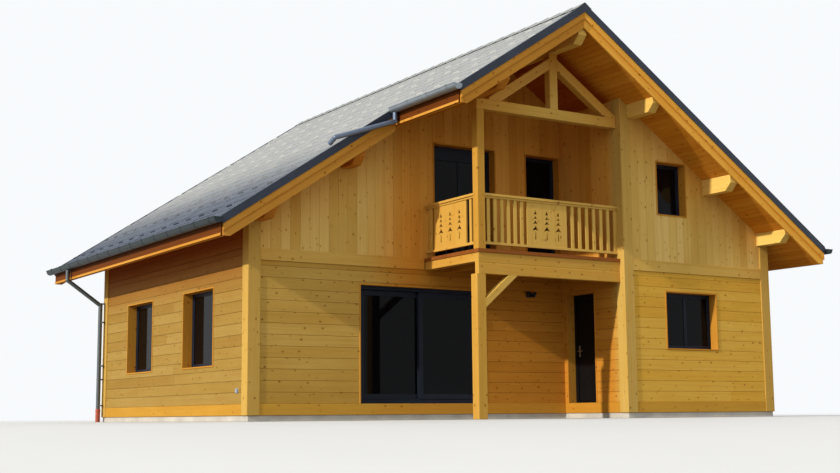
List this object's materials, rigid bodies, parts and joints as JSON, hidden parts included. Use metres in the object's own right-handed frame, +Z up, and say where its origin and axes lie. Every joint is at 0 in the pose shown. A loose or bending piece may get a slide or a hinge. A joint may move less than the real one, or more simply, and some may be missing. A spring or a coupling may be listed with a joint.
{
  "type": "alpine timber chalet",
  "caption": "Two-storey timber chalet with a steep gabled roof, a front wing, and a corner porch that carries a balcony with cut-out railings.",
  "frame": {"origin": "on the ground, at the middle of the main block's plan, under the ridge", "axes": "+Z up; -Y towards the gable front with the balcony; +X to the right seen from the front, so the ridge runs along Y"},
  "size_m": [12.752, 11.37, 7.5444],
  "materials": {
    "siding": "oiled larch boards, horizontal below, upright above",
    "timber": "planed posts and beams",
    "trim_wood": "planed boards, lightly stained",
    "soffit_wood": "tongue and groove boards under the roof",
    "deck_wood": "deck boards",
    "tiles": "flat slate grey tiles",
    "dark_metal": "dark blue grey sheet metal",
    "zinc": "dull zinc",
    "concrete": "cast concrete",
    "anthracite": "satin powder coat",
    "glass": "clear glass",
    "door": "satin powder coat",
    "steel": "brushed",
    "lamp": "matt black"
  },
  "bodies": {
    "house": {"ground_floor": "concrete", "sill_boards": "siding", "upper_floor": "deck_wood", "left_wall": "siding", "right_wall": "siding", "back_wall": "siding", "front_wall": "siding", "patio_lintel": "siding", "porch_wall": "siding", "wing_side_wall": "siding", "door_lintel": "siding", "wing_front_wall": "siding", "front_gable": "siding", "wing_gable": "siding", "wing_upper_side": "siding", "back_gable": "siding", "belly_bands": "trim_wood", "corner_posts": "timber", "opening_linings": "trim_wood", "roof_left": "soffit_wood", "roof_right": "soffit_wood", "roof_porch": "soffit_wood", "tiles_left": "tiles", "tiles_right": "tiles", "tiles_porch": "tiles", "ridge_cap": "dark_metal", "verge_trim_left": "dark_metal", "verge_trim_right": "dark_metal", "barge_left": "trim_wood", "barge_right": "trim_wood", "fascias": "trim_wood", "purlins_left": "timber", "purlins_right": "timber", "ridge_purlin": "timber", "gutters": "zinc", "downpipes": "zinc", "balcony_deck": "deck_wood", "balcony_beams": "timber", "balcony_joists": "timber", "posts": "timber", "knee_brace": "timber", "railing_front": "trim_wood", "railing_side": "trim_wood", "tie_beam": "timber", "king_post": "timber", "truss_struts": "timber", "lower_window_frames": "anthracite", "upper_window_frames": "anthracite", "lower_glass": "glass", "upper_glass": "glass", "patio_frame": "anthracite", "patio_fixed_leaf": "anthracite", "entrance_frame": "anthracite", "wall_lamp": "lamp"},
    "patio_leaf": {"patio_sliding_leaf": "anthracite", "patio_sliding_glass": "glass"},
    "entrance_door": {"entrance_leaf": "door", "entrance_handle": "steel"}
  },
  "joints": [
    {"name": "patio_slide", "type": "slide", "parent": "house", "child": "patio_leaf", "axis": [1, 0, 0], "range_m": [0, 1.22]},
    {"name": "entrance_hinge", "type": "hinge", "parent": "house", "child": "entrance_door", "pos_m": [1.805, -4.587, 1.3], "axis": [0, 0, -1], "range_deg": [0, 90]}
  ]
}
